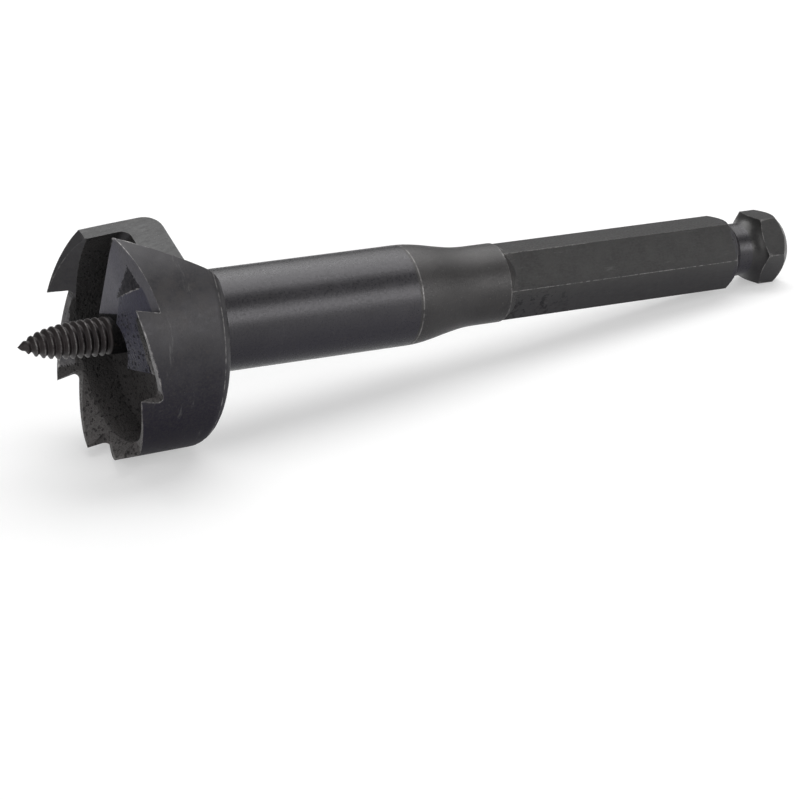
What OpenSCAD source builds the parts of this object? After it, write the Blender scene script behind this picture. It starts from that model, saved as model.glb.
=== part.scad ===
// Self-feeding wood bit: a toothed cup on a hex shank, with a feed screw that a set screw holds.
// The bit is drawn along +Z from the screw's point (z = 0), then laid down as it comes to rest.
// Angles run about the axis, anticlockwise seen from the shank; the bit cuts the other way round.

/* [Cutting head] */
// Diameter across the tooth tips
cut_d = 38.1; // [34:0.1:46]
// Length from the tooth tips to the back face
head_len = 15.4; // [14:0.1:20]
// Angle at which the cup draws in towards its back
back_taper = 1.6; // [0.5:0.1:3]
// Radius of the round edge at the back of the cup
back_round = 2.7; // [1:0.1:3.5]
// Thickness of the cup's wall at the rim
wall = 2.4; // [1.8:0.1:3.2]
// Angle of the grind inside the rim that brings the teeth to a point
bevel_angle = 30; // [24:1:40]
// Depth of the chip pocket behind the tooth tips
pocket_depth = 10.2; // [8:0.1:11]
// Radius in the corner of the pocket's floor
pocket_round = 1.5; // [0.5:0.1:2]

/* [Teeth] */
// Depth of the gullets between the teeth
tooth_depth = 3.9; // [2.5:0.1:5]
// Angle by which the front of a tooth hooks forward
tooth_rake = 12; // [4:1:18]
// Radius in the corner of a gullet
gullet_round = 0.7; // [0.3:0.1:1]
// How far the gullets are ground in past the wall
wheel_reach = 0.35; // [0.2:0.05:1]
// Relief angle behind the first tooth, at the corner of the lip
spur_relief = 19; // [14:1:24]
// Angle at which that relief falls outwards
spur_fall = 11; // [6:1:16]

/* [Lip and throat] */
// How far the cutting lip lies behind the tooth tips
lip_set = 0.35; // [0.1:0.05:1]
// Hook angle of the lip's face
lip_hook = 31; // [22:1:36]
// Relief angle behind the lip's edge
lip_relief = 9; // [6:1:14]
// Distance of the lip's back face from the axis
lip_back = 3.9; // [3.6:0.1:6]
// Turn of the lip's back face from the lip's edge
lip_back_turn = 59; // [50:1:70]
// Distance of the throat's floor from the axis, at the lip's edge
throat_floor = 6.2; // [6:0.1:7.5]
// Slope of the throat's floor along the bit
throat_slope = 12.2; // [8:0.1:14]

/* [Neck and shank] */
// Diameter of the neck behind the cup
neck_d = 16.2; // [14.5:0.1:16.4]
// Length of the neck's plain part
neck_len = 37; // [34:0.5:60]
// Length of the curve from the neck down to the shank
step_len = 12.5; // [8:0.5:20]
// Diameter of the round part of the shank
shank_d = 12.9; // [12.9:0.1:14]
// Length of the round part of the shank
round_len = 4.8; // [3:0.1:12]
// Length of the ramp where the hex starts
ramp_len = 1.5; // [0.5:0.1:2]
// Distance across the flats of the hex shank
hex_af = 11.1; // [9.5:0.1:11.1]
// Length of the hex shank, up to its groove
hex_len = 43.1; // [30:0.1:60]
// Diameter at the bottom of the locking groove
groove_d = 8.8; // [7.5:0.1:9]
// Length of the groove's plain part
groove_len = 2; // [1.5:0.1:4]
// Length of the knob behind the groove
knob_len = 7.2; // [6.5:0.1:10]
// Diameter of the flat end of the knob
end_d = 9.2; // [7:0.1:9.4]

/* [Feed screw] */
// How far the screw's point leads the tooth tips
screw_lead = 12.3; // [9:0.1:16]
// Diameter of the screw
screw_d = 6; // [5.5:0.1:6.2]
// Whole length of the screw
screw_len = 58; // [54:0.5:62]
// Length of the tapered point
point_len = 13; // [10:0.5:15]
// Gap all round the screw in its bore
screw_gap = 0.05; // [0.03:0.01:0.1]
// Depth of the flat that the set screw presses on
flat_depth = 0.7; // [0.4:0.1:1]
// Length of that flat
flat_len = 15; // [10:0.5:16]
// Length of the full round left behind the flat
tail_len = 2.6; // [1.5:0.1:4]

/* [Set screw] */
// Diameter of the set screw
set_d = 5; // [4:0.5:6]
// Length of the set screw
set_len = 4.5; // [4:0.1:5]
// Distance across the flats of its socket
set_key = 2.5; // [2:0.1:3]
// Depth of its socket
socket_depth = 2.2; // [1.5:0.1:3]

/* [Hidden] */
$fn = 96;
steel = [0.2, 0.2, 0.21];
screw_steel = [0.23, 0.21, 0.2];

// Angles about the axis; the teeth stand at uneven steps, so that the cup doesn't chatter
tooth_at = [39.5, 79, 121.5, 170, 206, 250, 293];
throat_at = 333;
lip_at = tooth_at[0];
hex_at = 45.65;
set_at = 285.65;
rest_up = hex_at - 30;

// How far a cut runs past the faces that it opens, and one body into the next
over = 1;

// Stations along the axis, from the screw's point
rim_z = screw_lead;
back_z = rim_z + head_len;
floor_z = rim_z + pocket_depth;
lip_z = rim_z + lip_set;
step_z = back_z + neck_len;
round_z = step_z + step_len;
hex_z = round_z + round_len;
hex_end_z = hex_z + hex_len;
neck_r = neck_d / 2;
shank_r = shank_d / 2;
hex_r = hex_af / sqrt(3);
ramp_z = hex_z + ramp_len + over;
ramp_r = shank_r - (shank_r - hex_af / 2) * (ramp_len + over) / ramp_len;
groove_r = groove_d / 2;
groove_z = hex_end_z + hex_r - groove_r;
knob_z = groove_z + groove_len;
end_z = knob_z + knob_len;
end_r = end_d / 2;
knob_rise = 2.6;
knob_chamfer = hex_r - end_r;

// Radii of the cup, whose rim is left long for the teeth to be ground from
rim_r = cut_d / 2;
rim_stock = 0.5;
edge_land = 0.12;
inner_r = rim_r - wall;
bevel_z = rim_z + (wall - edge_land) / tan(bevel_angle);
function cup_r(z) = rim_r - (z - rim_z) * tan(back_taper);
corner_z = back_z - back_round;
corner_r = cup_r(corner_z) - back_round;

// Screw, bore and the hollow in the lip's block that the screw passes through
screw_r = screw_d / 2;
bore_r = screw_r + screw_gap;
hollow_gap = 1.95;
hollow_r = screw_r + hollow_gap;
hollow_shift = [1.3, 4.3];
lip_stock = 0.5;
floor_skim = 0.8;
point_curve = 3.9;
tail_chamfer = 0.6;
drill_slope = 31;
bore_clear = 0.3;
bore_end = screw_len + bore_clear;
flat_end = screw_len - tail_len;
flat_r = screw_r - flat_depth;
set_z = flat_end - flat_len / 2;
set_gap = 0.05;
set_seat = 0.02;
set_point = 0.8;
far = 3 * cut_d;

// Points on an arc of a circle, from one angle to another
function arc(centre, r, from, to, steps = 8) =
    [for (i = [0 : steps]) let (a = from + (to - from) * i / steps) centre + r * [cos(a), sin(a)]];

// Outline of the blank, from the rim back to the end of the round shank
function blank_outline() = concat(
    [[0, rim_z - rim_stock], [cup_r(rim_z - rim_stock), rim_z - rim_stock]],
    arc([corner_r, corner_z], back_round, -back_taper, 90),
    [[neck_r, back_z]],
    [for (i = [0 : 12]) let (t = i / 12)
        [shank_r + (neck_r - shank_r) * (1 + cos(180 * t)) / 2, step_z + step_len * t]],
    [[shank_r, hex_z], [ramp_r, ramp_z], [0, ramp_z]]
);

// Outline of the shank's end, which the hex is turned down to
function shank_outline() = concat(
    [[0, hex_z - over], [hex_r + over, hex_z - over]],
    [[hex_r + over, hex_end_z - over], [groove_r, groove_z]],
    arc([groove_r + knob_rise, knob_z], knob_rise, 180, 110),
    [[hex_r + over, knob_z + knob_rise], [hex_r + over, end_z - knob_chamfer - over]],
    [[end_r, end_z], [0, end_z]]
);

// Turns a shape to an angle about the axis
module at(angle) {
    rotate([0, 0, angle]) children();
}

// Prism that runs outwards along X from a flat outline in Y and Z
module along_x(from, to) {
    translate([from, 0, 0]) rotate([90, 0, 90]) linear_extrude(to - from) children();
}

// Prism that runs along Y from a flat outline in X and Z
module along_y(reach) {
    rotate([90, 0, 0]) linear_extrude(2 * reach, center = true) children();
}

// Space inside the cup, with the ground bevel at its mouth
module cup_space() {
    rotate_extrude()
        polygon(concat(
            [[0, rim_z - over], [rim_r - edge_land + over * tan(bevel_angle), rim_z - over]],
            [[inner_r, bevel_z]],
            arc([inner_r - pocket_round, floor_z - pocket_round], pocket_round, 0, 90),
            [[0, floor_z]]
        ));
}

// Block that carries the cutting lip, hollow about the screw, with stock in front that the throat takes off
module lip_block() {
    at(lip_at) difference() {
        intersection() {
            along_x(0, far)
                polygon([
                    [-lip_stock, lip_z - lip_stock * tan(lip_relief)],
                    [far, lip_z + far * tan(lip_relief)],
                    [far, lip_z + far],
                    [far * tan(lip_hook) - lip_stock, lip_z + far]
                ]);
            rotate([0, 0, lip_back_turn]) translate([-far, -far, 0]) cube([2 * far, far + lip_back, far]);
        }
        translate([hollow_shift[0], hollow_shift[1], 0]) cylinder(r = hollow_r, h = back_z);
    }
}

// Opening in front of the lip: it faces the lip in the pocket and runs out through the wall and the floor
module throat() {
    front_z = rim_z - over;
    past_z = back_z + over;
    at(lip_at) intersection() {
        along_x(-far, far)
            polygon([
                [-far, front_z],
                [(front_z - lip_z) * tan(lip_hook), front_z],
                [(past_z - lip_z) * tan(lip_hook), past_z],
                [-far, past_z]
            ]);
        union() {
            along_y(far)
                polygon([
                    [throat_floor + (front_z - lip_z) * tan(throat_slope), front_z],
                    [far, front_z],
                    [far, past_z],
                    [throat_floor + (past_z - lip_z) * tan(throat_slope), past_z]
                ]);
            translate([-over, -inner_r / 2, front_z])
                cube([inner_r / 2, far, floor_z - floor_skim - front_z]);
        }
    }
}

// Room in front of a tooth's hooked face, down to a depth
module tooth_front(angle, depth) {
    at(angle) along_x(0, rim_r + over)
        polygon([
            [-far, rim_z - over],
            [-far, rim_z + depth],
            [depth * tan(tooth_rake), rim_z + depth],
            [-over * tan(tooth_rake), rim_z - over]
        ]);
}

// Relief of the first tooth, which falls away outwards from the corner of the lip to the next tooth
module first_gullet(to) {
    intersection() {
        tooth_front(to, tooth_depth + over);
        at(lip_at) translate([rim_r, 0, lip_z]) rotate([0, -spur_fall, 0]) rotate([spur_relief, 0, 0])
            translate([-far, -far, -far]) cube([2 * far, 2 * far, far]);
    }
}

// Gullet in front of a later tooth: the relief of the tooth ahead, a round, then this tooth's hooked face
module gullet(from, to) {
    lead = rim_r * sin(to - from);
    foot = tooth_depth * tan(tooth_rake);
    relief = atan2(tooth_depth, lead + foot);
    half = (90 - tooth_rake - relief) / 2;
    middle = relief + half;
    corner = [foot, rim_z + tooth_depth] - gullet_round / sin(half) * [cos(middle), sin(middle)];
    intersection() {
        at(to) along_x(0, rim_r + over)
            polygon(concat(
                [[-lead - over / tan(relief), rim_z - over]],
                arc(corner, gullet_round, 90 + relief, -tooth_rake, 4),
                [[-over * tan(tooth_rake), rim_z - over]]
            ));
        at((from + to) / 2) translate([inner_r * cos((to - from) / 2) - wheel_reach, -far, 0])
            cube([far, 2 * far, back_z]);
    }
}

// Gullets all round, ground through the wall, the last one run out into the throat
module gullets() {
    stops = concat(tooth_at, [throat_at]);
    first_gullet(stops[1]);
    for (i = [2 : len(stops) - 1])
        gullet(stops[i - 1], stops[i]);
}

// Forged steel body: toothed cup, neck, and hex shank with its locking groove
module bit_body() {
    color(steel) difference() {
        union() {
            difference() {
                rotate_extrude() polygon(blank_outline());
                difference() {
                    cup_space();
                    lip_block();
                }
                throat();
                gullets();
            }
            intersection() {
                at(hex_at) translate([0, 0, hex_z - over])
                    cylinder(r = hex_r, h = end_z - hex_z + over, $fn = 6);
                rotate_extrude() polygon(shank_outline());
            }
        }
        cylinder(r = bore_r, h = bore_end);
        translate([0, 0, bore_end]) cylinder(r1 = bore_r, r2 = 0, h = bore_r * tan(drill_slope));
        at(set_at) translate([0, 0, set_z]) rotate([0, 90, 0]) cylinder(d = set_d + 2 * set_gap, h = neck_d);
    }
}

// Screw that draws the bit into the wood, with a flat on its tail
module feed_screw() {
    color(screw_steel) difference() {
        rotate_extrude()
            polygon(concat(
                [[0, 0]],
                [for (i = [1 : 12]) let (t = i / 12)
                    [screw_r * (1 - exp(-point_curve * t)) / (1 - exp(-point_curve)), point_len * t]],
                [[screw_r, screw_len - tail_chamfer], [screw_r - tail_chamfer, screw_len], [0, screw_len]]
            ));
        at(set_at) translate([flat_r, -screw_d, flat_end - flat_len]) cube([screw_d, 2 * screw_d, flat_len]);
    }
}

// Headless screw in the side of the neck, that clamps the feed screw by its flat
module set_screw() {
    color(screw_steel) at(set_at) translate([flat_r + set_seat, 0, set_z]) rotate([0, 90, 0])
        difference() {
            union() {
                cylinder(d1 = set_d - 2 * set_point, d2 = set_d, h = set_point);
                translate([0, 0, set_point]) cylinder(d = set_d, h = set_len - set_point);
            }
            translate([0, 0, set_len - socket_depth]) cylinder(d = set_key * 2 / sqrt(3), h = far, $fn = 6);
        }
}

// Lays the bit on its cup and on a flat of its knob, as it comes to rest
knob_flat_z = end_z - knob_chamfer + hex_r - hex_af / 2;
rest_run = knob_flat_z - corner_z;
rest_drop = corner_r - hex_af / 2;
rest_tilt = atan2(rest_drop, rest_run) + asin(back_round / norm([rest_drop, rest_run]));
rest_lift = knob_flat_z * sin(rest_tilt) + hex_af / 2 * cos(rest_tilt);
rest_mid = (end_z * cos(rest_tilt) + end_r * sin(rest_tilt)) / 2;

module at_rest() {
    translate([-rest_mid, 0, rest_lift])
        rotate([0, 90 + rest_tilt, 0]) rotate([0, 0, 180 - rest_up]) children();
}

at_rest() bit_body();
at_rest() feed_screw();
at_rest() set_screw();
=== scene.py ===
import math

import bpy
import numpy as np
from mathutils import Euler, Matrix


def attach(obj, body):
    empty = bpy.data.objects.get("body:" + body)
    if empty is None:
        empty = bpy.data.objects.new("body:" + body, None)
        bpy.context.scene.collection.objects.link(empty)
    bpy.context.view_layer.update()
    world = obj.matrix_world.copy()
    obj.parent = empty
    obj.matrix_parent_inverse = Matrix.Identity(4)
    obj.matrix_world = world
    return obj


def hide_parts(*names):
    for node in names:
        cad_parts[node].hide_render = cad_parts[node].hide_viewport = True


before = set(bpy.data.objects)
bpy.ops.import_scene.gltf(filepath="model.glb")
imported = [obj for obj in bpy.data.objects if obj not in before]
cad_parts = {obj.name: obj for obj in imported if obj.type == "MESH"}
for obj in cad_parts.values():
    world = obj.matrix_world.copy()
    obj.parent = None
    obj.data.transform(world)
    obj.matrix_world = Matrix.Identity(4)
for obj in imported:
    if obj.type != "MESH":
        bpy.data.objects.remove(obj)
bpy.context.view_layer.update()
scene = bpy.context.scene
scene.view_settings.view_transform = "Standard"
print("frame loaded:", sorted(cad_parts))

# how the bit lies, on its cup and on a flat of its knob: angles, and the place of its axis in millimetres
lie = dict(tilt=math.radians(6.80253), up=math.radians(15.65), mid=67.9469, lift=21.5438)
lipTurn = math.radians(39.5)  # where the lip is round the axis, from straight up towards the viewer


def bitFromWorld(world):
    # metres in the world to millimetres on the bit: s from the screw's point, u to the viewer, v up
    x, y, z = (world * 1000).T
    x, z = x + lie["mid"], z - lie["lift"]
    s = x * math.cos(lie["tilt"]) - z * math.sin(lie["tilt"])
    w = x * math.sin(lie["tilt"]) + z * math.cos(lie["tilt"])
    v = w * math.cos(lie["up"]) + y * math.sin(lie["up"])
    u = w * math.sin(lie["up"]) - y * math.cos(lie["up"])
    return s, u, v


def worldFromBit(s, u, v):
    # the same turn the other way, millimetres on the bit to metres in the world
    w = v * math.cos(lie["up"]) + u * math.sin(lie["up"])
    q = u * math.cos(lie["up"]) - v * math.sin(lie["up"])
    x = s * math.cos(lie["tilt"]) + w * math.sin(lie["tilt"]) - lie["mid"]
    z = w * math.cos(lie["tilt"]) - s * math.sin(lie["tilt"]) + lie["lift"]
    return np.stack([x, -q, z], -1) / 1000


def lipFrame(u, v):
    # the same point along the lip and behind it
    along = v * math.cos(lipTurn) + u * math.sin(lipTurn)
    behind = u * math.cos(lipTurn) - v * math.sin(lipTurn)
    return along, behind


# shader helpers
def addNode(tree, kind, **settings):
    node = tree.nodes.new(kind)
    for name, value in settings.items():
        setattr(node, name, value)
    return node


def wire(tree, source, target):
    tree.links.new(source, target)


def feed(tree, value, socket):
    # an output is wired to the socket, a number, vector or colour is set on it
    if isinstance(value, bpy.types.NodeSocket):
        wire(tree, value, socket)
    elif socket.type == "RGBA":
        socket.default_value = (*value, 1.0)
    else:
        socket.default_value = value


def setInputs(node, **values):
    for name, value in values.items():
        node.inputs[name.replace("_", " ")].default_value = value
    return node


def mathNode(tree, operation, a, b=None, clamp=False):
    node = addNode(tree, "ShaderNodeMath", operation=operation, use_clamp=clamp)
    feed(tree, a, node.inputs[0])
    if b is not None:
        feed(tree, b, node.inputs[1])
    return node.outputs[0]


def times(tree, first, *others):
    for other in others:
        first = mathNode(tree, "MULTIPLY", first, other)
    return first


def without(tree, share):
    return mathNode(tree, "SUBTRACT", 1.0, share, clamp=True)


def ramp(tree, value, low, high, toLow=0.0, toHigh=1.0):
    node = addNode(tree, "ShaderNodeMapRange", interpolation_type="SMOOTHSTEP")
    setInputs(node, From_Min=low, From_Max=high, To_Min=toLow, To_Max=toHigh)
    wire(tree, value, node.inputs["Value"])
    return node.outputs["Result"]


def noise(tree, vector, scale, detail=3.0, roughness=0.55):
    node = setInputs(addNode(tree, "ShaderNodeTexNoise"), Detail=detail, Roughness=roughness)
    wire(tree, vector, node.inputs["Vector"])
    feed(tree, scale, node.inputs["Scale"])
    return node.outputs["Fac"]


def vectorNode(tree, operation, a, b):
    node = addNode(tree, "ShaderNodeVectorMath", operation=operation)
    feed(tree, a, node.inputs[0])
    feed(tree, b, node.inputs[1])
    return node.outputs


def turnNode(tree, axis, angle, vector):
    node = addNode(tree, "ShaderNodeVectorRotate", rotation_type=axis)
    node.inputs["Angle"].default_value = angle
    wire(tree, vector, node.inputs["Vector"])
    return node.outputs[0]


def splitVector(tree, vector):
    node = addNode(tree, "ShaderNodeSeparateXYZ")
    wire(tree, vector, node.inputs[0])
    return node.outputs


def mixColour(tree, share, first, second):
    node = addNode(tree, "ShaderNodeMix", data_type="RGBA")
    for place, value in ((0, share), (6, first), (7, second)):  # the colour pair's own places on the node
        feed(tree, value, node.inputs[place])
    return node.outputs[2]


# node groups shared by the materials
def newGroup(name, inputs, outputs):
    group = bpy.data.node_groups.new(name, "ShaderNodeTree")
    for label, kind, value in inputs:
        socket = group.interface.new_socket(label, in_out="INPUT", socket_type="NodeSocket" + kind)
        if value is not None:
            socket.default_value = value
    for label, kind in outputs:
        group.interface.new_socket(label, in_out="OUTPUT", socket_type="NodeSocket" + kind)
    return group, addNode(group, "NodeGroupInput").outputs, addNode(group, "NodeGroupOutput").inputs


def putOut(group, made, **values):
    for label, value in values.items():
        wire(group, value, made[label])
    return group


def makeBitFrame():
    # Object coordinates on the upright bit in millimetres: whole, along, out from and round the axis
    group, _, made = newGroup("bitFrame", [], [
        ("Bit", "Vector"), ("Along", "Float"), ("Out", "Float"), ("Round", "Vector")])
    coords = addNode(group, "ShaderNodeTexCoord").outputs["Object"]
    moved = vectorNode(group, "ADD", coords, (lie["mid"] / 1000, 0, -lie["lift"] / 1000))[0]
    upright = turnNode(group, "X_AXIS", lie["up"], turnNode(group, "Y_AXIS", -lie["tilt"], moved))
    bit = vectorNode(group, "MULTIPLY", upright, (1000, 1000, 1000))[0]
    parts = splitVector(group, bit)
    side, top = (mathNode(group, "POWER", parts[axis], 2.0) for axis in "YZ")
    out = mathNode(group, "SQRT", mathNode(group, "ADD", side, top))
    flat = addNode(group, "ShaderNodeCombineXYZ")
    for axis in "YZ":
        wire(group, parts[axis], flat.inputs[axis])
    direction = addNode(group, "ShaderNodeVectorMath", operation="NORMALIZE")
    wire(group, flat.outputs[0], direction.inputs[0])
    return putOut(group, made, Bit=bit, Along=parts["X"], Out=out, Round=direction.outputs[0])


smudge = dict(at=(20.0, -18.5, 4.0), inner=2.5, outer=8.5)  # on the cup's wall, millimetres on the bit
lowSide = dict(start=0.05, full=-0.86)  # upward share of the direction out from the axis, where painted shade and light on the low side start and are full


def makeOxideMottle():
    # oxide clouds, grains, rusty specks, a brown smudge on the cup, and the low side for painted shade and
    # light
    group, given, made = newGroup("oxideMottle", [
        ("Bit", "Vector", None), ("Round", "Vector", None),
        ("Cloud Size", "Float", 0.25), ("Grain Size", "Float", 3.0)], [
        ("Cloud", "Float"), ("Grain", "Float"), ("Rust", "Float"), ("Smudge", "Float"), ("Low", "Float")])
    bit = given["Bit"]
    cloud = noise(group, bit, given["Cloud Size"], 4.0, 0.6)
    grain = noise(group, bit, given["Grain Size"], 5.0, 0.7)
    rust = ramp(group, noise(group, bit, 0.9, 4.0, 0.65), 0.6, 0.74)
    reach = vectorNode(group, "DISTANCE", bit, smudge["at"])["Value"]
    near = ramp(group, reach, smudge["outer"], smudge["inner"])
    patchy = ramp(group, noise(group, bit, 0.5, 4.0, 0.65), 0.38, 0.66)
    # the low side: a mask for painted shade, and on the forged inside for painted light
    low = ramp(group, splitVector(group, given["Round"])["Z"], lowSide["start"], lowSide["full"])
    brown = times(group, near, patchy)
    return putOut(group, made, Cloud=cloud, Grain=grain, Rust=rust, Smudge=brown, Low=low)


def makeEdgeWear():
    # bare steel where an edge has rubbed: near a sharp edge, broken up by two noises, wider where stronger
    group, given, made = newGroup("edgeWear", [
        ("Bit", "Vector", None), ("Edge Distance", "Float", 1.0),
        ("Strength", "Float", 1.0), ("Width", "Float", 0.25)], [("Wear", "Float")])
    width = times(group, given["Width"], mathNode(group, "MAXIMUM", given["Strength"], 0.6))
    near = without(group, mathNode(group, "DIVIDE", given["Edge Distance"], width))
    broken = ramp(group, noise(group, given["Bit"], 1.1, 4.0, 0.7), 0.36, 0.62)
    speck = ramp(group, noise(group, given["Bit"], 7.0, 2.0, 0.6), 0.3, 0.62, 0.35, 1.0)
    worn = times(group, near, broken, speck)
    return putOut(group, made, Wear=mathNode(group, "MULTIPLY", worn, given["Strength"], clamp=True))


def makeForgePits():
    # pits of a forged skin: cells with a dark core, in patches, over a lumpy ground with bright specks
    group, given, made = newGroup("forgePits", [
        ("Bit", "Vector", None), ("Pit Size", "Float", 1.6), ("Amount", "Float", 1.0)], [
        ("Pit", "Float"), ("Height", "Float"), ("Spark", "Float")])
    bit = given["Bit"]
    cells = addNode(group, "ShaderNodeTexVoronoi", feature="F1")
    wire(group, vectorNode(group, "ADD", bit, noise(group, bit, 1.4, 2.0))[0], cells.inputs["Vector"])
    wire(group, given["Pit Size"], cells.inputs["Scale"])
    core = ramp(group, cells.outputs["Distance"], 0.12, 0.42, 1.0, 0.0)
    where = ramp(group, noise(group, bit, 0.55, 3.0), 0.36, 0.6)
    pit = mathNode(group, "MULTIPLY", times(group, core, where), given["Amount"], clamp=True)
    lumps = noise(group, bit, 2.4, 5.0, 0.65)
    height = mathNode(group, "SUBTRACT", lumps, times(group, pit, 0.8))
    spark = ramp(group, noise(group, bit, 5.5, 2.0, 0.5), 0.66, 0.78)
    return putOut(group, made, Pit=pit, Height=height, Spark=spark)


def makeToolLines():
    # fine lines left by a tool: a noise squeezed along one direction of the bit
    group, given, made = newGroup("toolLines", [
        ("Bit", "Vector", None), ("Stretch", "Vector", (1.0, 1.0, 1.0)), ("Fineness", "Float", 6.0)], [
        ("Lines", "Float"), ("Scuff", "Float")])
    squeezed = vectorNode(group, "MULTIPLY", given["Bit"], given["Stretch"])[0]
    lines = noise(group, squeezed, given["Fineness"], 4.0, 0.6)
    scuff = ramp(group, noise(group, squeezed, 1.3, 6.0, 0.75), 0.6, 0.7)
    return putOut(group, made, Lines=lines, Scuff=scuff)


# lines on the flank: share along the lip, share behind it, start in millimetres, and how ragged the line is
lipLines = dict(
    burr=(0.83, -1.0, -4.85, 0.5), burrInner=(1.0, 0.0, -11.4, 1.6), burrOuter=(-1.0, 0.0, 14.9, 1.6),
    hollowFront=(-0.087, 1.0, -2.91, 2.6), hollowBack=(-1.0, -0.427, 18.5, 2.6),
    padFront=(0.106, 1.0, -5.42, 0.8), padInner=(1.24, 1.0, -9.96, 0.8), pits=(-1.17, 1.0, 4.75, 1.2),
    ring=(-1.0, 0.72, 4.65, 0.7), fall=(1.0, 0.95, -19.1, 0.0))
padEnds = (17.2, 17.6)  # the pad fades out between these, millimetres out from the axis


def makeLipMarks():
    # marks behind the lip, each bounded by lines: painted shade of an unground hollow, its burr, a pad with
    # pits low on it, painted shade round the screw, and painted light on the side falling to the tooth's
    # outer edge
    group, given, made = newGroup("lipMarks", [("Bit", "Vector", None), ("Out", "Float", 0.0)], [
        ("Hollow", "Float"), ("Burr", "Float"), ("Pad", "Float"), ("Pits", "Float"), ("Ring", "Float"),
        ("Fall", "Float")])
    bit = given["Bit"]
    parts = splitVector(group, turnNode(group, "X_AXIS", -lipTurn, bit))
    ragged = mathNode(group, "SUBTRACT", noise(group, bit, 1.9, 5.0, 0.75), 0.5)

    def past(name):
        # above 0 on one side of the line: along * x + behind * y + start, less or more by the ragged noise
        along, behind, start, rag = lipLines[name]
        value = mathNode(group, "ADD", times(group, parts["Z"], along), times(group, parts["Y"], -behind))
        return mathNode(group, "ADD", mathNode(group, "ADD", value, start), times(group, ragged, rag))

    def mask(value, soft=0.12):
        return ramp(group, value, -soft, soft)

    overBurr = past("burr")
    streaky = ramp(group, noise(group, bit, 1.3, 4.0, 0.6), 0.36, 0.6, 1.0, 0.85)
    # painted shade: a dark patch where the unground hollow lies
    hollow = times(group, mask(past("hollowFront")), mask(past("hollowBack")), mask(overBurr), streaky)
    broken = ramp(group, noise(group, bit, 2.2, 3.0), 0.4, 0.55)
    thin = ramp(group, mathNode(group, "ABSOLUTE", overBurr), 0.06, 0.2, 1.0, 0.0)
    burr = times(group, thin, broken, mask(past("burrInner")), mask(past("burrOuter")))
    underBurr = mask(times(group, overBurr, -1.0))
    inside = ramp(group, given["Out"], *padEnds, 1.0, 0.0)
    pad = times(group, underBurr, mask(past("padFront")), mask(past("padInner")), inside)
    pits = times(group, pad, ramp(group, past("pits"), -0.4, 0.3, 0.12, 1.0))
    # painted shade round the screw, outside the pad
    ring = times(group, mask(past("ring")), without(group, pad))
    # Fall: painted light on the side falling to the tooth's outer edge
    return putOut(group, made, Hollow=hollow, Burr=burr, Pad=pad, Pits=pits, Ring=ring,
                  Fall=mask(past("fall"), 1.6))


groups = dict(bitFrame=makeBitFrame(), oxideMottle=makeOxideMottle(), edgeWear=makeEdgeWear(),
              forgePits=makeForgePits(), toolLines=makeToolLines(), lipMarks=makeLipMarks())
print("node groups:", ", ".join(groups))


def placeGroup(tree, name, **values):
    node = addNode(tree, "ShaderNodeGroup", node_tree=groups[name])
    for label, value in values.items():
        feed(tree, value, node.inputs[label.replace("_", " ")])
    return node.outputs


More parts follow.
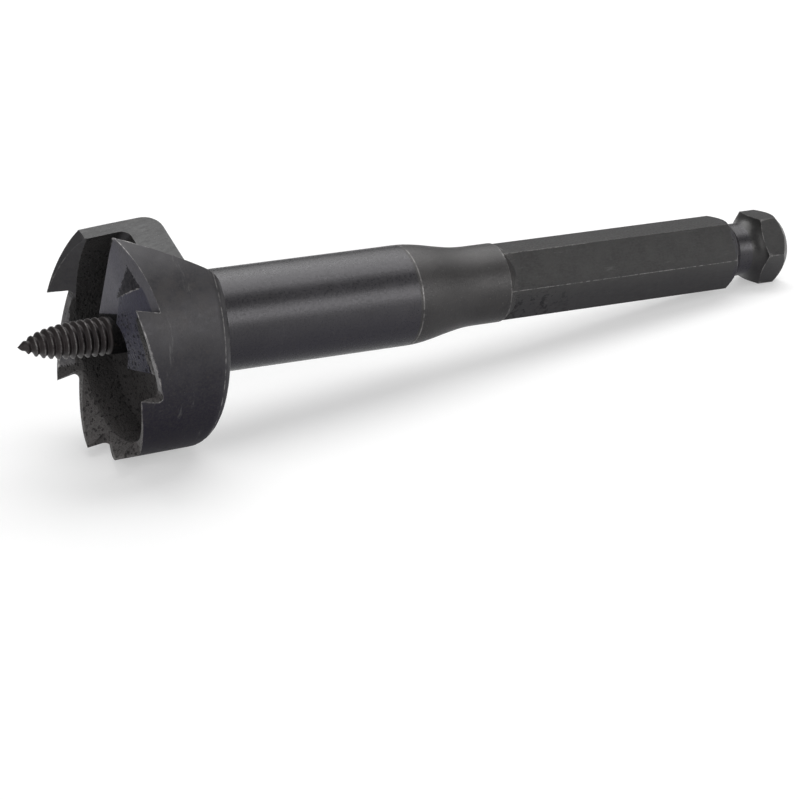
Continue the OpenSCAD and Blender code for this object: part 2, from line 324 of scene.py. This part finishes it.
def steelMaterial(name, look):
    # black oxide over steel: mottle, tool lines, pits and bright rubbed edges, each as strong as look says
    # some layers are painted shade and painted light, laid into the colour and the shine
    material = bpy.data.materials.new(name)
    material.use_nodes = True
    tree = material.node_tree
    shader = tree.nodes["Principled BSDF"]
    bit = placeGroup(tree, "bitFrame")
    mottle = placeGroup(tree, "oxideMottle", Bit=bit["Bit"], Round=bit["Round"],
                        Cloud_Size=look["cloud"], Grain_Size=look["grain"])
    lines = placeGroup(tree, "toolLines", Bit=bit["Bit"], Stretch=look["stretch"], Fineness=look["fine"])
    pits = placeGroup(tree, "forgePits", Bit=bit["Bit"], Pit_Size=look["pitSize"], Amount=look["pitAmount"])
    edge = addNode(tree, "ShaderNodeAttribute", attribute_name="edgeDistance").outputs["Fac"]
    rubbed = addNode(tree, "ShaderNodeAttribute", attribute_name="edgeRub").outputs["Fac"]
    worn = placeGroup(tree, "edgeWear", Bit=bit["Bit"], Edge_Distance=edge, Strength=rubbed,
                      Width=look["wearWidth"])["Wear"]
    marks = placeGroup(tree, "lipMarks", Bit=bit["Bit"], Out=bit["Out"]) if look["lipMarks"] else None
    low = mottle["Low"]

    def dulled(value, share):
        return times(tree, without(tree, share), value)

    pitted, lumps = pits["Pit"], times(tree, pits["Height"], look["pitBump"])
    sparks = times(tree, pits["Spark"], look["sparkShare"])
    if marks:  # pits only on the low part of the pad
        pitted, lumps, sparks = (times(tree, value, marks["Pits"]) for value in (pitted, lumps, sparks))
    if look["ringAt"]:  # a thin rubbed bare line round the bit, and on the cup's back edge a painted highlight too
        line = mathNode(tree, "ABSOLUTE", mathNode(tree, "SUBTRACT", bit["Along"], look["ringAt"]))
        line = times(tree, ramp(tree, line, *look["ringWidth"], 1.0, 0.0), look["ringShare"])
        chipped = ramp(tree, noise(tree, bit["Bit"], 0.7, 4.0, 0.7), 0.38, 0.6)
        worn = mathNode(tree, "MAXIMUM", worn, times(tree, line, chipped))

    # layers of colour from the ground up, and the shine that some of them take away
    layers = [(times(tree, mottle["Smudge"], look["smudgeShare"]), look["smudge"])]
    shine = look["shine"]
    # painted shade: less shine on the low side
    if look["lowDull"]:
        shine = dulled(shine, times(tree, low, look["lowDull"]))
    # painted shade on the screw where it runs into the bore
    if look["hiddenFrom"]:
        hidden = ramp(tree, bit["Along"], look["hiddenFrom"], look["hiddenFrom"] + 0.5)
        layers.append((hidden, look["pitColour"]))
        shine = dulled(shine, times(tree, hidden, look["hiddenDull"]))
    # painted shade near the axis, on the cup's floor round the screw
    if look["coreReach"]:
        core = ramp(tree, bit["Out"], look["coreReach"] * 0.6, look["coreReach"], 1.0, 0.0)
        layers.append((core, look["pitColour"]))
    # dark patches held to the low side, deepening its painted shade
    if look["blotShare"]:
        blot = ramp(tree, noise(tree, bit["Bit"], 0.85, 5.0, 0.7), 0.52, 0.6)
        blot = times(tree, blot, ramp(tree, bit["Along"], *look["blotEnds"], look["blotShare"], 0.1), low)
        layers.append((blot, look["pitColour"]))
        shine = dulled(shine, times(tree, blot, look["blotDull"]))
    if marks:
        # painted light on the side falling to the tooth's outer edge
        layers.append((times(tree, marks["Fall"], look["fallShare"]), look["fall"]))
        # painted shade in the unground hollow, with its shine taken away
        layers += [(marks["Pad"], look["pad"]), (marks["Hollow"], look["hollow"])]
        worn = mathNode(tree, "MAXIMUM", worn, times(tree, marks["Burr"], look["burrShare"]))
        padDull = times(tree, marks["Pad"], look["padDull"])
        hollowDull = times(tree, marks["Hollow"], look["hollowDull"])
        shine = dulled(shine, mathNode(tree, "ADD", padDull, hollowDull))
    # painted shade on the low side, bluish like a painted reflection; lighter on the forged inside, painted
    # light
    layers.append((times(tree, low, look["lowShare"]), look["low"]))
    # on the forged inside: painted light near the cup's opening, painted shade further in
    if look["mouthShare"]:
        mouth = ramp(tree, bit["Along"], *look["mouthEnds"], 0.0, look["mouthShare"])
        deep = ramp(tree, bit["Along"], *look["deepEnds"], 0.0, look["deepShare"])
        layers += [(times(tree, mouth, low), look["mouth"]), (times(tree, deep, low), look["pitColour"])]
    layers += [
        (times(tree, ramp(tree, mottle["Grain"], 0.35, 0.72), look["grainShare"]), look["speck"]),
        (times(tree, mottle["Rust"], look["rustShare"]), look["rust"]),
        (times(tree, ramp(tree, lines["Lines"], 0.4, 0.66), look["lineShare"]), look["lineColour"]),
        (times(tree, lines["Scuff"], look["scuffShare"]), look["scuff"]),
        (times(tree, pitted, look["pitShare"]), look["pitColour"]),
        (sparks, look["spark"]), (worn, look["bare"])]
    # painted shade round the screw, with its shine taken away
    if marks:
        layers.append((marks["Ring"], look["pitColour"]))
        shine = dulled(shine, times(tree, marks["Ring"], look["hiddenDull"]))
    colour = mixColour(tree, ramp(tree, mottle["Cloud"], 0.32, 0.7), look["dark"], look["light"])
    for share, paint in layers:
        colour = mixColour(tree, share, colour, paint)
    wire(tree, colour, shader.inputs["Base Color"])

    smoothest, roughest = (look["rough"] + more for more in look["roughSpread"])
    rough = ramp(tree, mottle["Grain"], 0.3, 0.7, smoothest, roughest)
    rough = mathNode(tree, "SUBTRACT", rough, times(tree, worn, look["wornPolish"]))
    rough = mathNode(tree, "ADD", rough, times(tree, pitted, look["pitRough"]), clamp=True)
    wire(tree, rough, shader.inputs["Roughness"])
    wire(tree, times(tree, worn, look["wornMetal"]), shader.inputs["Metallic"])
    height = mathNode(tree, "ADD", times(tree, lines["Lines"], look["lineBump"]),
                      times(tree, mottle["Grain"], look["grainBump"]))
    bump = setInputs(addNode(tree, "ShaderNodeBump"), Strength=1.0, Distance=look["bumpDepth"] / 1000)
    wire(tree, mathNode(tree, "ADD", height, lumps), bump.inputs["Height"])
    wire(tree, bump.outputs["Normal"], shader.inputs["Normal"])
    feed(tree, shine, shader.inputs["Specular IOR Level"])
    feed(tree, look["sheen"], shader.inputs["Specular Tint"])
    return material


# what all the finishes start from; sizes and places are millimetres on the bit
oxide = dict(
    dark=(0.014, 0.0135, 0.0158), light=(0.023, 0.022, 0.0252), cloud=0.2,
    speck=(0.036, 0.034, 0.034), grain=2.6, grainShare=0.35, grainBump=0.3,
    rust=(0.045, 0.033, 0.023), rustShare=0.2, scuff=(0.11, 0.108, 0.108), scuffShare=0.12,
    lineColour=(0.03, 0.03, 0.031), lineShare=0.15, stretch=(1.0, 1.0, 1.0), fine=6.0, lineBump=0.15,
    # pitColour: the dark in the pits, and the colour of painted shade
    pitColour=(0.003, 0.003, 0.0034), pitSize=1.5, pitAmount=0.0, pitShare=0.75, pitBump=0.0, pitRough=0.2,
    spark=(0.24, 0.23, 0.225), sparkShare=0.0, smudge=(0.042, 0.0375, 0.0345), smudgeShare=0.0,
    # low side: painted shade, bluish like a painted reflection, with less shine there
    low=(0.012, 0.0112, 0.0155), lowShare=0.4, lowDull=0.15,
    bare=(0.33, 0.32, 0.315), wearWidth=0.22, wornPolish=0.12, wornMetal=0.85,
    ringAt=0.0, ringWidth=(0.04, 0.16), ringShare=0.0, hiddenFrom=0.0, hiddenDull=0.9, coreReach=0.0,
    blotShare=0.0, mouthShare=0.0, lipMarks=False,
    rough=0.36, roughSpread=(-0.07, 0.09), bumpDepth=0.04, shine=0.44, sheen=(0.985, 0.965, 1.0))
finishes = {
    "turnedBlack": dict(
        oxide, stretch=(1.0, 0.06, 0.06), fine=9.0, lineBump=0.4, rough=0.31, shine=0.47,
        # low side: painted shade in blue, like a painted reflection
        low=(0.011, 0.0092, 0.021), lowShare=0.7, lowDull=0.5),
    "cupBlack": dict(
        oxide, dark=(0.011, 0.0105, 0.0128), light=(0.028, 0.0271, 0.0297), cloud=0.3, rough=0.46, shine=0.38,
        scuffShare=0.4, grainShare=0.65, sparkShare=0.15, stretch=(0.5, 0.1, 0.1), smudgeShare=0.5,
        # low: painted shade, bluish like a painted reflection; the line at ringAt is also a painted highlight
        low=(0.013, 0.0109, 0.0215), lowShare=0.9, lowDull=0.92, ringAt=26.1, ringShare=0.5),
    "forgedBlack": dict(
        oxide, dark=(0.009, 0.0083, 0.0082), light=(0.021, 0.0196, 0.0193), rough=0.55, shine=0.34,
        # coreReach: painted shade near the axis
        pitAmount=2.0, pitShare=0.5, pitBump=1.0, bumpDepth=0.4, sparkShare=0.5, rustShare=0.3, coreReach=8.5,
        # low and mouth: painted light on the lower inside; deep: painted shade further in
        low=(0.098, 0.091, 0.0893), lowShare=0.9, lowDull=0.0, mouth=(0.17, 0.16, 0.158), mouthShare=0.9,
        mouthEnds=(18.2, 15.2), deepEnds=(18.5, 21.0), deepShare=0.4, sheen=(1.0, 1.0, 1.0)),
    "groundBlue": dict(
        oxide, dark=(0.025, 0.024, 0.0375), light=(0.046, 0.044, 0.064), rough=0.42, shine=0.55,
        stretch=(0.3, 1.0, 0.3), lineShare=0.2, grainBump=0.12, bumpDepth=0.2, lipMarks=True,
        pitAmount=2.5, pitSize=1.25, pitBump=0.8, sparkShare=0.6, pad=(0.028, 0.0277, 0.049), padDull=0.45,
        # hollow: painted shade; fall: painted light; low: painted shade, bluish like a painted reflection
        hollow=(0.006, 0.0057, 0.0088), hollowDull=0.85, fall=(0.062, 0.0597, 0.0685), fallShare=0.85,
        burrShare=0.6, low=(0.008, 0.008, 0.017), lowShare=0.9, lowDull=0.9, sheen=(0.96, 0.94, 1.0)),
    "milledGrey": dict(
        oxide, dark=(0.033, 0.0334, 0.0337), light=(0.06, 0.0605, 0.061), rough=0.46, sparkShare=0.7,
        lineColour=(0.022, 0.022, 0.023), lineShare=0.8, stretch=(0.25, 1.0, 1.0), fine=1.8,
        lowShare=0.0, sheen=(1.0, 1.0, 1.0)),
    "hexBlack": dict(
        oxide, dark=(0.0095, 0.0093, 0.0092), light=(0.019, 0.0186, 0.0183), cloud=0.3, rough=0.37,
        shine=0.42, stretch=(0.15, 1.0, 1.0), lineShare=0.3, scuffShare=0.25, grainShare=0.45, wearWidth=0.2,
        # low and blot: painted shade on the low side, in patches near the neck end
        low=(0.012, 0.0105, 0.015), lowShare=0.7, lowDull=0.35, blotShare=0.9, blotEnds=(88.0, 97.0),
        blotDull=0.8, sheen=(1.0, 0.99, 0.98)),
    "stepBlack": dict(
        oxide, dark=(0.015, 0.0143, 0.0143), light=(0.028, 0.0265, 0.026), rough=0.38, shine=0.45,
        stretch=(1.0, 0.06, 0.06), fine=7.0, lineBump=0.3, grain=3.4, grainShare=0.6, grainBump=0.8,
        bumpDepth=0.07, sparkShare=0.5, lowDull=0.5, ringAt=65.2, ringShare=0.55, sheen=(1.0, 0.98, 0.98)),
    "landGrey": dict(
        # lighter ground steel, raised so the far rim is bright: partly painted light
        oxide, dark=(0.075, 0.0728, 0.0765), light=(0.165, 0.159, 0.162), cloud=0.6, rough=0.42,
        grainShare=0.6, sparkShare=0.4, pitAmount=1.0, pitShare=0.6, pitSize=2.0, lowShare=0.0, lowDull=0.3),
    "screwBrown": dict(
        oxide, dark=(0.0095, 0.0068, 0.0068), light=(0.018, 0.0135, 0.0133), rough=0.44, shine=0.32,
        # hiddenFrom: painted shade on the screw inside the bore
        stretch=(1.0, 0.1, 0.1), rustShare=0.3, wearWidth=0.16, lowShare=0.0, hiddenFrom=14.2,
        sheen=(1.0, 0.94, 0.95)),
    "socketBlack": dict(oxide, rough=0.4, stretch=(1.0, 0.1, 0.1), lowShare=0.0, wearWidth=0.12),
}
materials = {name: steelMaterial(name, look) for name, look in finishes.items()}
print("materials:", ", ".join(materials))


# the body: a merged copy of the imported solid, cut finer so that edges and skins can be told apart
# lengths are millimetres, smooth and sharp are limits for normals, spread is how many steps edges reach
bodyMesh = dict(
    headLongest=0.62, neckLongest=8.0, shankLongest=1.5, headEnd=28.2, neckEnd=63.5, boreReach=3.4,
    boreFrom=17.0, weld=0.001, smooth=0.97, sharp=0.87, rubReach=3.0, spread=10)


def meshArrays(node):
    # corner points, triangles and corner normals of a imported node, with shared points merged
    mesh = node.data
    points = np.empty(len(mesh.vertices) * 3, np.float32)
    mesh.vertices.foreach_get("co", points)
    corners = np.empty(len(mesh.loops), np.int32)
    mesh.loops.foreach_get("vertex_index", corners)
    normals = np.empty(len(mesh.loops) * 3, np.float32)
    mesh.corner_normals.foreach_get("vector", normals)
    points = points.reshape(-1, 3).astype(float)
    keys = np.round(points * 1000 / bodyMesh["weld"]).astype(np.int64)
    first, joined = np.unique(keys, axis=0, return_index=True, return_inverse=True)[1:]
    triangles = joined.ravel()[corners].reshape(-1, 3)
    normals = normals.reshape(-1, 3, 3).astype(float)
    whole = (triangles != np.roll(triangles, 1, 1)).all(1)
    return points[first], triangles[whole], normals[whole]


def edgesOf(triangles):
    # each triangle's three edges as rows of a list without doubles
    ends = np.stack([triangles, np.roll(triangles, -1, 1)], -1).reshape(-1, 2)
    edges, index = np.unique(np.sort(ends, 1), axis=0, return_inverse=True)
    return edges, index.ravel().reshape(-1, 3)


def unit(vectors):
    return vectors / np.maximum(np.linalg.norm(vectors, axis=-1, keepdims=True), 1e-12)


def tooLong(points, edges):
    # edges over the length that their part of the bit needs, apart from those deep in the bore
    length = np.linalg.norm(points[edges[:, 0]] - points[edges[:, 1]], axis=1) * 1000
    s, u, v = bitFromWorld(points)
    bored = (np.hypot(u, v) < bodyMesh["boreReach"]) & (s > bodyMesh["boreFrom"])
    limit = np.where(s < bodyMesh["neckEnd"], bodyMesh["neckLongest"], bodyMesh["shankLongest"])
    limit = np.where(s < bodyMesh["headEnd"], bodyMesh["headLongest"], limit)
    return (length > limit[edges].max(1)) & ~bored[edges].all(1)


def splitOnce(points, triangles, normals):
    # every long edge gets a middle point, lifted onto the round that its ends' normals describe
    edges, index = edgesOf(triangles)
    split = tooLong(points, edges)
    if not split.any():
        return points, triangles, normals, False
    a, b = points[triangles], points[np.roll(triangles, -1, 1)]
    na, nb = normals, np.roll(normals, -1, 1)
    middle = (a + b) / 2
    liftA = ((a - middle) * na).sum(-1, keepdims=True) * na
    liftB = ((b - middle) * nb).sum(-1, keepdims=True) * nb
    midNormals = unit(na + nb)
    total, seen = np.zeros((len(edges), 3)), np.zeros((len(edges), 3))
    np.add.at(total, index.ravel(), ((liftA + liftB) / 4).reshape(-1, 3))
    np.add.at(seen, index.ravel(), midNormals.reshape(-1, 3))
    total[np.linalg.norm(seen, axis=1) / 2 > bodyMesh["smooth"]] /= 2
    newIndex = np.full(len(edges), -1)
    newIndex[split] = len(points) + np.arange(split.sum())
    points = np.concatenate([points, (points[edges].mean(1) + total)[split]])
    mids = newIndex[index]
    cut = mids >= 0
    cuts = cut.sum(1)
    newTriangles, newNormals = [triangles[cuts == 0]], [normals[cuts == 0]]

    def emit(rows, order, picks):
        # picks names corners 0 to 2 and middles 3 to 5 of the turned triangle
        corners = np.take_along_axis(triangles[rows], order, 1)
        middles = np.take_along_axis(mids[rows], order, 1)
        every = np.concatenate([corners, middles], 1)
        cornerNormals = np.take_along_axis(normals[rows], order[..., None], 1)
        middleNormals = np.take_along_axis(midNormals[rows], order[..., None], 1)
        everyNormal = np.concatenate([cornerNormals, middleNormals], 1)
        for pick in picks:
            newTriangles.append(every[:, pick])
            newNormals.append(everyNormal[:, pick])

    turns = np.array([[0, 1, 2], [1, 2, 0], [2, 0, 1]])
    one, two, three = (np.nonzero(cuts == count)[0] for count in (1, 2, 3))
    emit(one, turns[cut[one].argmax(1)], [[0, 3, 2], [3, 1, 2]])
    emit(two, turns[((~cut[two]).argmax(1) + 1) % 3], [[3, 1, 4], [0, 3, 4], [0, 4, 2]])
    emit(three, np.tile(turns[0], (len(three), 1)), [[0, 3, 5], [3, 1, 4], [5, 4, 2], [3, 4, 5]])
    return points, np.concatenate(newTriangles), np.concatenate(newNormals), True


points, triangles, normals = meshArrays(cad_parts["bit_body"])
going = True
while going:
    points, triangles, normals, going = splitOnce(points, triangles, normals)
print("body cut finer:", len(points), "points,", len(triangles), "triangles")

# the flank behind the first tooth is one ground sweep: two planes and a soft ridge, a smooth maximum of both
grind = dict(tip=12.65, out=19.05, behind=math.radians(9), fall=math.radians(11), relief=math.radians(19),
             blend=0.8, near=0.03, start=-0.05)
s, u, v = bitFromWorld(points)
lipX, lipY = lipFrame(u, v)
first = grind["tip"] + lipY * math.tan(grind["behind"])
second = grind["tip"] + (lipX - grind["out"]) * math.tan(grind["fall"])
second = second + lipY * math.tan(grind["relief"]) / math.cos(grind["fall"])
onFlank = (np.abs(np.maximum(first, second) - s) < grind["near"]) & (lipX > 0) & (lipY > grind["start"])
ridge = np.clip(1 - np.abs(first - second) / grind["blend"], 0, 1) ** 2 * grind["blend"] / 4
points = np.where(onFlank[:, None], worldFromBit(s + ridge, u, v), points)
print("flank rounded at", int(onFlank.sum()), "points")

# sharp edges, outward ones told from inward ones by the turn of the two faces' normals
edges, index = edgesOf(triangles)
owner = np.argsort(index.ravel(), kind="stable").reshape(-1, 2)
tri, side = owner // 3, owner % 3
after = (side + 1) % 3
faceNormal = unit(normals[tri, side] + normals[tri, after])
start = points[triangles[tri[:, 0], side[:, 0]]]
end = points[triangles[tri[:, 0], after[:, 0]]]
bend = (faceNormal[:, 0] * faceNormal[:, 1]).sum(1)
turned = (np.cross(faceNormal[:, 0], faceNormal[:, 1]) * (end - start)).sum(1)
sharp = bend < bodyMesh["sharp"]
outward = sharp & (turned > 0)
lengths = np.linalg.norm(end - start, axis=1) * 1000


def walkFrom(startEdges, reach):
    # distance over the surface from some edges, in millimetres, passed on from point to point
    far = np.full(len(points), reach)
    far[edges[startEdges].ravel()] = 0
    for step in range(bodyMesh["spread"]):
        for a, b in (edges.T, edges.T[::-1]):
            np.minimum.at(far, a, far[b] + lengths)
    return far


edgeDistance = walkFrom(outward, bodyMesh["rubReach"])
print("sharp edges:", int(sharp.sum()), "outward:", int(outward.sum()))

# where each skin lies on the upright bit: millimetres along and out from the axis, degrees round it
skinAt = dict(headEnd=27.75, shoulder=(27.0, 28.0), cupOut=14.5, cupBack=20.0, landOut=15.5, frontLand=122,
              farRim=(256, 291), rimOut=17.2, lipFaceOut=5.5, lipFaceFrom=12.0, step=(64.9, 83.5),
              groove=(125.2, 129.6))
fs, fu, fv = bitFromWorld(points[triangles].mean(1))
fr, fphi = np.hypot(fu, fv), np.degrees(np.arctan2(fu, fv)) % 360
origin = np.stack(bitFromWorld(np.zeros((1, 3))))
ns, nu, nv = np.stack(bitFromWorld(unit(normals.mean(1)) / 1000)) - origin  # the way a face looks
outFace = (nu * fu + nv * fv) / np.maximum(fr, 1e-6)
alongLip, lipFacing = lipFrame(fu, fv)[0], lipFrame(nu, nv)[0]
bodySkins = [name for name in finishes if name not in ("screwBrown", "socketBlack")]
skin = np.full(len(triangles), bodySkins.index("turnedBlack"))


def dress(where, name):
    skin[where] = bodySkins.index(name)


def between(value, ends):
    return (value > ends[0]) & (value <= ends[1])


head = fs < skinAt["headEnd"]
wall = (outFace > 0.6) | ((ns > 0.2) & (fs > skinAt["cupBack"]))
land = head & (fr > skinAt["landOut"]) & (ns < -0.3) & (ns > -0.98)
rim = head & (fr > skinAt["rimOut"]) & (ns < -0.05) & (outFace < 0.6)
dress(head, "forgedBlack")
dress(head & (fr > skinAt["cupOut"]) & wall, "cupBlack")
dress(between(fs, skinAt["shoulder"]) & (ns > 0.8), "cupBlack")
dress(land & (fphi < skinAt["frontLand"]), "landGrey")
dress(head & onFlank[triangles].all(1) & (ns < -0.5), "groundBlue")
dress(land & (fphi > skinAt["farRim"][1]), "cupBlack")
# the far rim takes the land finish, partly painted light
dress(rim & between(fphi, skinAt["farRim"]), "landGrey")
lipFace = (lipFacing > 0.9) & (alongLip > skinAt["lipFaceOut"]) & (fs > skinAt["lipFaceFrom"])
dress(head & lipFace & (outFace < 0.99), "milledGrey")
dress(between(fs, skinAt["step"]), "stepBlack")
dress(fs > skinAt["step"][1], "hexBlack")
dress(between(fs, skinAt["groove"]), "turnedBlack")

# how bare an edge is: the teeth by degrees round the cup, the rest by place, the hex by its corners
rub = dict(teeth=[(30, 0.3), (39, 1.1), (60, 0.7), (74, 0.2), (78, 0.3), (80, 0.9), (92, 1.0), (113, 1.4),
                  (117, 0.25), (120.5, 0.25), (122, 1.0), (140, 0.7), (165, 0.3), (250, 0.3), (258, 1.3),
                  (287, 1.3), (292, 0.45), (334, 0.4), (340, 0.2)],
           toothOut=17.6, landOut=15.5, land=0.12, inside=0.05, wallFrom=17.5, wallOut=16.0, wall=0.3,
           shankFrom=60.0, shank=0.4, knobFrom=125.0, knob=0.7,
           corners=[dict(turn=135.65, reach=22, end=87.0, bare=0.8),
                    dict(turn=45.65, reach=12, end=98.0, bare=0.95),
                    dict(turn=105.65, reach=12, end=125.0, bare=0.75)])


def rubAmount(s, u, v):
    # the outer edges of the teeth that face the viewer are rubbed most, then the corners of the hex
    r, phi = np.hypot(u, v), np.degrees(np.arctan2(u, v)) % 360
    tooth = np.interp(phi, *zip(*rub["teeth"]))
    amount = np.where(r > rub["toothOut"], tooth, np.where(r > rub["landOut"], rub["land"], rub["inside"]))
    amount = np.where(s > rub["wallFrom"], rub["wall"] * (r > rub["wallOut"]), amount)
    amount = np.where(s > rub["shankFrom"], rub["shank"], amount)
    for corner in rub["corners"]:
        onTurn = np.abs(phi - corner["turn"]) < corner["reach"]
        onShank = between(s, (rub["shankFrom"], corner["end"]))
        amount = np.where(onTurn & onShank, corner["bare"], amount)
    return np.where(s > rub["knobFrom"], rub["knob"], amount)


def newPiece(name, points, faces):
    mesh = bpy.data.meshes.new(name)
    mesh.from_pydata(points.astype(np.float32), [], faces)
    mesh.update()
    mesh.polygons.foreach_set("use_smooth", np.ones(len(faces), bool))
    piece = bpy.data.objects.new(name, mesh)
    scene.collection.objects.link(piece)
    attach(piece, "root")
    return piece


def addEdgeValues(piece, **values):
    for label, value in values.items():
        layer = piece.data.attributes.new(label, "FLOAT", "POINT")
        layer.data.foreach_set("value", value.astype(np.float32))


body = newPiece("bitBody", points, triangles)
for name in bodySkins:
    body.data.materials.append(materials[name])
body.data.polygons.foreach_set("material_index", skin.astype(np.int32))
meshEdges = np.empty(len(body.data.edges) * 2, np.int32)
body.data.edges.foreach_get("vertices", meshEdges)
meshEdges = np.sort(meshEdges.reshape(-1, 2), 1).astype(np.int64)
sharpKeys = edges[sharp, 0] * len(points) + edges[sharp, 1]
isSharp = np.isin(meshEdges[:, 0] * len(points) + meshEdges[:, 1], sharpKeys)
body.data.attributes.new("sharp_edge", "BOOLEAN", "EDGE").data.foreach_set("value", isSharp)
addEdgeValues(body, edgeDistance=edgeDistance, edgeRub=rubAmount(s, u, v))
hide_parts("bit_body")
print("body dressed:", {name: int((skin == place).sum()) for place, name in enumerate(bodySkins)})

# the feed screw, in millimetres on the bit: a pointed thread, then a plain tail with one flat
feedScrew = dict(
    pitch=1.18, depth=0.5, phase=0.1, pointLen=13.0, curve=3.9, radius=3.0, threadEnd=13.9, fade=0.8,
    rootHalf=0.06, flankRun=0.38, flankPower=1.15, tipFrom=0.5, tipRun=0.9, tipLeast=0.1,
    tailFrom=30.0, length=58.0, chamfer=0.6, flatFrom=40.4, flatTo=55.4, flatStep=0.01, flatOut=2.3,
    flatAt=math.radians(285.65), flatLeast=0.2, around=112, perPitch=22, bare=0.5, bareReach=0.5,
    sharp=math.radians(50))


def makeFeedScrew():
    # r(z, t) = point curve less a groove that runs round with the pitch; the tail is round with one flat
    d = feedScrew
    threadStop = d["threadEnd"] + d["fade"]
    thread = np.linspace(0, threadStop, int(threadStop / d["pitch"] * d["perPitch"]))
    flatEnds = [d["flatFrom"] - d["flatStep"], d["flatFrom"], d["flatTo"], d["flatTo"] + d["flatStep"]]
    tail = [d["tailFrom"], *flatEnds, d["length"] - d["chamfer"], d["length"]]
    z = np.concatenate([thread, tail])[:, None]
    t = np.linspace(0, 2 * math.pi, d["around"], endpoint=False)[None, :]
    rise = 1 - np.exp(-d["curve"] * np.minimum(z / d["pointLen"], 1))
    outer = d["radius"] * rise / (1 - math.exp(-d["curve"]))
    turn = (z / d["pitch"] - t / (2 * math.pi) + d["phase"]) % 1.0
    ridge = np.clip((np.abs(turn - 0.5) - d["rootHalf"]) / d["flankRun"], 0, 1) ** d["flankPower"]
    run = np.clip((threadStop - z) / d["fade"], 0, 1)
    run = run * np.clip((outer - d["tipFrom"]) / d["tipRun"], d["tipLeast"], 1)
    r = outer - d["depth"] * (1 - ridge) * run
    facing = np.cos(t - d["flatAt"])
    flat = (z >= d["flatFrom"]) & (z <= d["flatTo"]) & (facing > d["flatLeast"])
    r = np.where(flat, np.minimum(r, d["flatOut"] / np.maximum(facing, d["flatLeast"])), r)
    r = r - np.clip(z - (d["length"] - d["chamfer"]), 0, None)
    rings = worldFromBit(z + 0 * t, r * np.sin(t), r * np.cos(t))[1:]
    ends = worldFromBit(np.array([0, d["length"]]), np.zeros(2), np.zeros(2))
    count, around = rings.shape[:2]
    i, j = np.meshgrid(np.arange(count - 1), np.arange(around), indexing="ij")
    k = (j + 1) % around
    quads = np.stack([(i + 1) * around + j, (i + 1) * around + k, i * around + k, i * around + j], -1)
    j, k, pole = j[0], k[0], np.full(around, count * around)
    last = (count - 1) * around
    tip = np.stack([j, k, pole], -1)
    cap = np.stack([last + k, last + j, pole + 1], -1)
    faces = [*quads.reshape(-1, 4).tolist(), *tip.tolist(), *cap.tolist()]
    crest = np.concatenate([(ridge * run)[1:].ravel(), [1, 0]])
    return np.concatenate([rings.reshape(-1, 3), ends]), faces, crest


screwPoints, screwFaces, crest = makeFeedScrew()
screw = newPiece("feedScrew", screwPoints, screwFaces)
screw.data.materials.append(materials["screwBrown"])
screw.data.set_sharp_from_angle(angle=feedScrew["sharp"])
addEdgeValues(screw, edgeDistance=(1 - crest) * feedScrew["bareReach"],
              edgeRub=np.full(len(crest), feedScrew["bare"]))
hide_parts("feed_screw")
print("feed screw:", len(screwPoints), "points")

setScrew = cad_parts["set_screw"]
setScrew.data.materials.clear()
setScrew.data.materials.append(materials["socketBlack"])

# floor, lamps and camera, in metres; a lamp's glow is how bright its face is
stageLook = dict(floor=4.0, paper=0.6, paperRough=0.9, lift=0.43, sky=0.2)
half = stageLook["floor"] / 2
floorMesh = bpy.data.meshes.new("floor")
floorCorners = [(-half, -half, 0), (half, -half, 0), (half, half, 0), (-half, half, 0)]
floorMesh.from_pydata(floorCorners, [], [(0, 1, 2, 3)])
floor = bpy.data.objects.new("floor", floorMesh)
scene.collection.objects.link(floor)
paper = bpy.data.materials.new("whitePaper")
paper.use_nodes = True
tree = paper.node_tree
paperShader = setInputs(
    tree.nodes["Principled BSDF"], Base_Color=(*[stageLook["paper"]] * 3, 1),
    Roughness=stageLook["paperRough"], Specular_IOR_Level=0.0, Emission_Color=(1, 1, 1, 1))
rays = addNode(tree, "ShaderNodeLightPath").outputs
seen = mathNode(tree, "MAXIMUM", rays["Is Camera Ray"], rays["Is Transmission Ray"])
seen = mathNode(tree, "MAXIMUM", seen, rays["Is Glossy Ray"])
wire(tree, times(tree, seen, stageLook["lift"]), paperShader.inputs["Emission Strength"])
floorMesh.materials.append(paper)

world = bpy.data.worlds.new("studio")
scene.world = world
world.use_nodes = True
setInputs(world.node_tree.nodes["Background"], Color=(1, 1, 1, 1), Strength=stageLook["sky"])

lamps = {
    "keyAbove": dict(place=(0.28, 0.2, 0.7), aim=(0.0, 0.0, 0.02), size=(1.0, 0.52), glow=3.25),
    "frontFill": dict(place=(0.42, -0.86, 0.27), aim=(0.0, 0.0, 0.02), size=(0.8, 0.42), glow=4.2),
    "backFill": dict(place=(0.5, 0.62, 0.6), aim=(0.0, 0.0, 0.02), size=(0.9, 0.4), glow=1.4),
    "leftFill": dict(place=(-0.75, -0.4, 0.38), aim=(-0.05, 0.0, 0.02), size=(0.6, 0.6), glow=2.4),
}
for name, lamp in lamps.items():
    light = bpy.data.lights.new(name, "AREA")
    light.shape, light.size, light.size_y = "RECTANGLE", *lamp["size"]
    light.energy = lamp["glow"] * math.pi * lamp["size"][0] * lamp["size"][1]  # watts for that glow
    holder = bpy.data.objects.new(name, light)
    scene.collection.objects.link(holder)
    away = np.array(lamp["place"]) - np.array(lamp["aim"])
    holder.location = lamp["place"]
    tip, spin = math.atan2(math.hypot(away[0], away[1]), away[2]), math.atan2(away[0], -away[1])
    holder.rotation_euler = Euler((tip, 0, spin), "XYZ")

view = dict(place=(-0.211379, -0.429863, 0.174687), turn=(69.3833, 5.8181, -27.7937), lens=141.903,
            sensor=36.0, nearest=0.01)
camera = bpy.data.cameras.new("camera")
camera.lens, camera.sensor_width, camera.clip_start = view["lens"], view["sensor"], view["nearest"]
cameraHolder = bpy.data.objects.new("camera", camera)
cameraHolder.location = view["place"]
cameraHolder.rotation_euler = Euler([math.radians(turn) for turn in view["turn"]], "XYZ")
scene.collection.objects.link(cameraHolder)
scene.camera = cameraHolder
print("stage, lamps and camera set")
